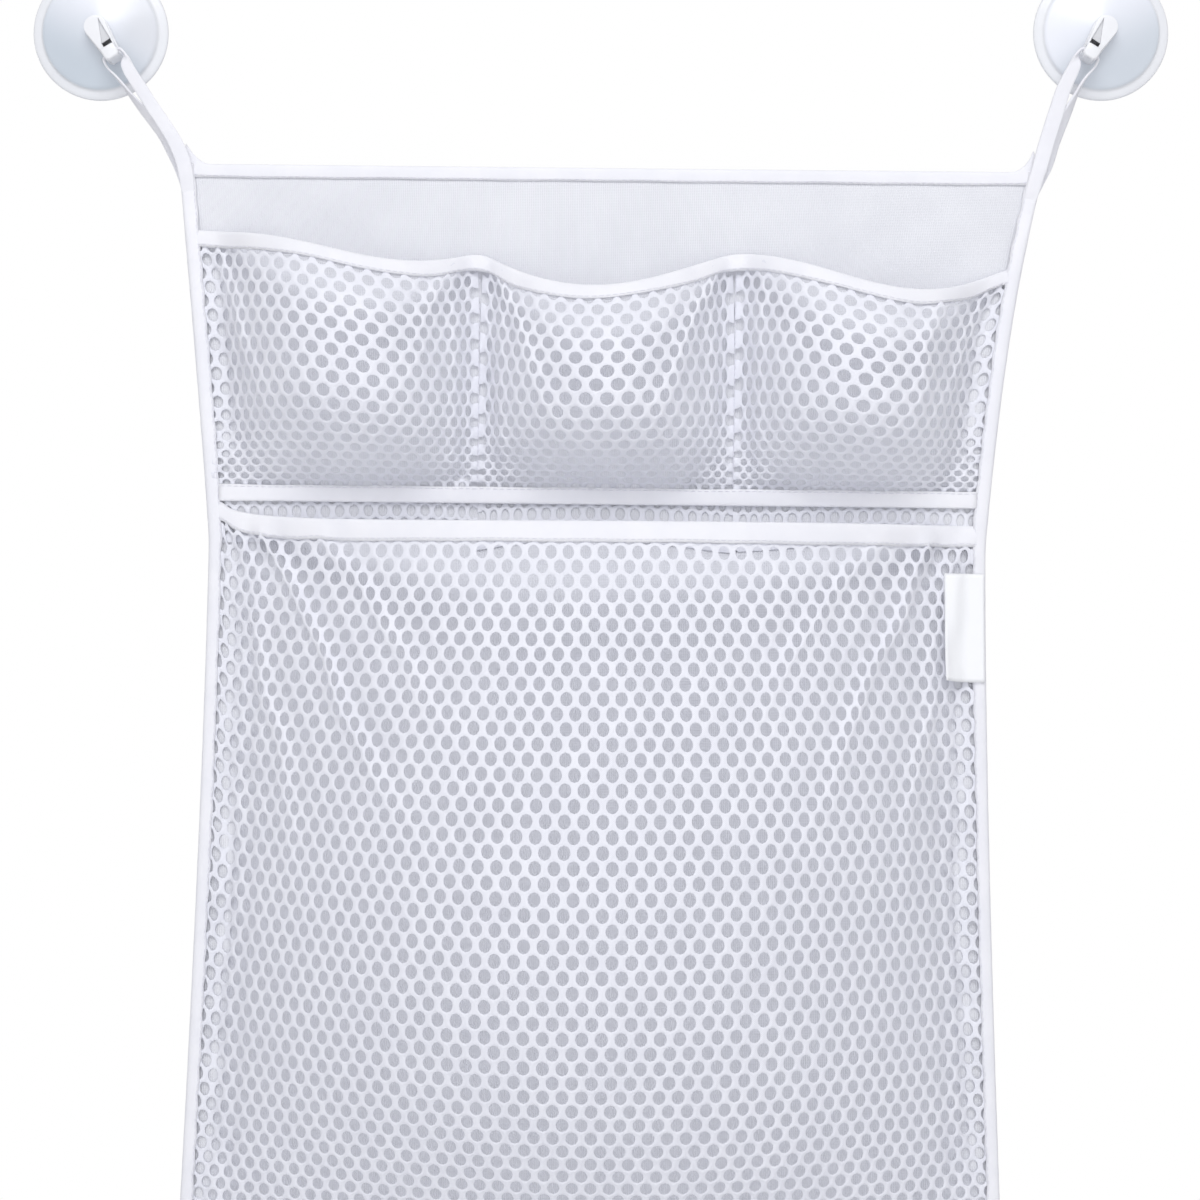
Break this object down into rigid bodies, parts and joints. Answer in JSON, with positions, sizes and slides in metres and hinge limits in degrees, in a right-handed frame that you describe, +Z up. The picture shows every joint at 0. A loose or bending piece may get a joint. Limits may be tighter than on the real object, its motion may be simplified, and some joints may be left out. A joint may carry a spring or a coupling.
{
  "type": "bath toy organizer",
  "caption": "Hanging mesh bag with a flat back, a row of small net pockets over one large net pocket, and tape loops on hooks snapped to suction cups.",
  "frame": {"origin": "in the wall plane, midway between the axes of the two suction cups", "axes": "+Z up, +X to the right seen from the front, +Y into the wall; the bag hangs on the -Y side"},
  "size_m": [0.504, 0.0777, 0.597],
  "materials": {
    "panel_cloth": "fine smooth warp knit, slightly see-through",
    "net": "soft knitted mesh with staggered rounded holes",
    "tape": "smooth folded binding tape",
    "thread": "twisted sewing thread",
    "label": "smooth satin, blank",
    "hook_plastic": "moulded, softly glossy",
    "cup_vinyl": "soft milky vinyl, slightly glossy"
  },
  "bodies": {
    "suction_cups": {"left_suction_cup": "cup_vinyl", "right_suction_cup": "cup_vinyl"},
    "bag": {"back_panel": "panel_cloth", "top_hem": "tape", "left_side_binding": "tape", "right_side_binding": "tape", "bottom_binding": "tape", "upper_left_net": "net", "upper_middle_net": "net", "upper_right_net": "net", "upper_hem": "tape", "upper_seam_tape": "tape", "left_divider_stitching": "thread", "right_divider_stitching": "thread", "lower_net": "net", "lower_hem": "tape", "side_label": "label", "left_corner_tack": "thread", "right_corner_tack": "thread"},
    "left_hook_body": {"left_hook": "hook_plastic"},
    "right_hook_body": {"right_hook": "hook_plastic"},
    "left_loop": {"left_strap_loop": "tape"},
    "right_loop": {"right_strap_loop": "tape"}
  },
  "joints": [
    {"name": "bag_swing", "type": "hinge", "parent": "suction_cups", "child": "bag", "pos_m": [0, -0.0147, -0.01327], "axis": [-1, 0, 0], "range_deg": [0, 40]},
    {"name": "left_hook_turn", "type": "hinge", "parent": "suction_cups", "child": "left_hook_body", "pos_m": [-0.222, 0, 0], "axis": [0, 1, 0], "range_deg": [-5, 5]},
    {"name": "right_hook_turn", "type": "hinge", "parent": "suction_cups", "child": "right_hook_body", "pos_m": [0.222, 0, 0], "axis": [0, 1, 0], "range_deg": [-5, 5]},
    {"name": "left_strap_turn", "type": "hinge", "parent": "bag", "child": "left_loop", "pos_m": [-0.18365, 0, -0.062], "axis": [0, 1, 0], "range_deg": [-1.4, 1.4]},
    {"name": "right_strap_turn", "type": "hinge", "parent": "bag", "child": "right_loop", "pos_m": [0.18365, 0, -0.062], "axis": [0, 1, 0], "range_deg": [-1.4, 1.4]}
  ],
  "couplings": [
    {"joint": "left_strap_turn", "follows": "left_hook_turn", "ratio": -0.27224},
    {"joint": "right_strap_turn", "follows": "right_hook_turn", "ratio": -0.27224}
  ]
}
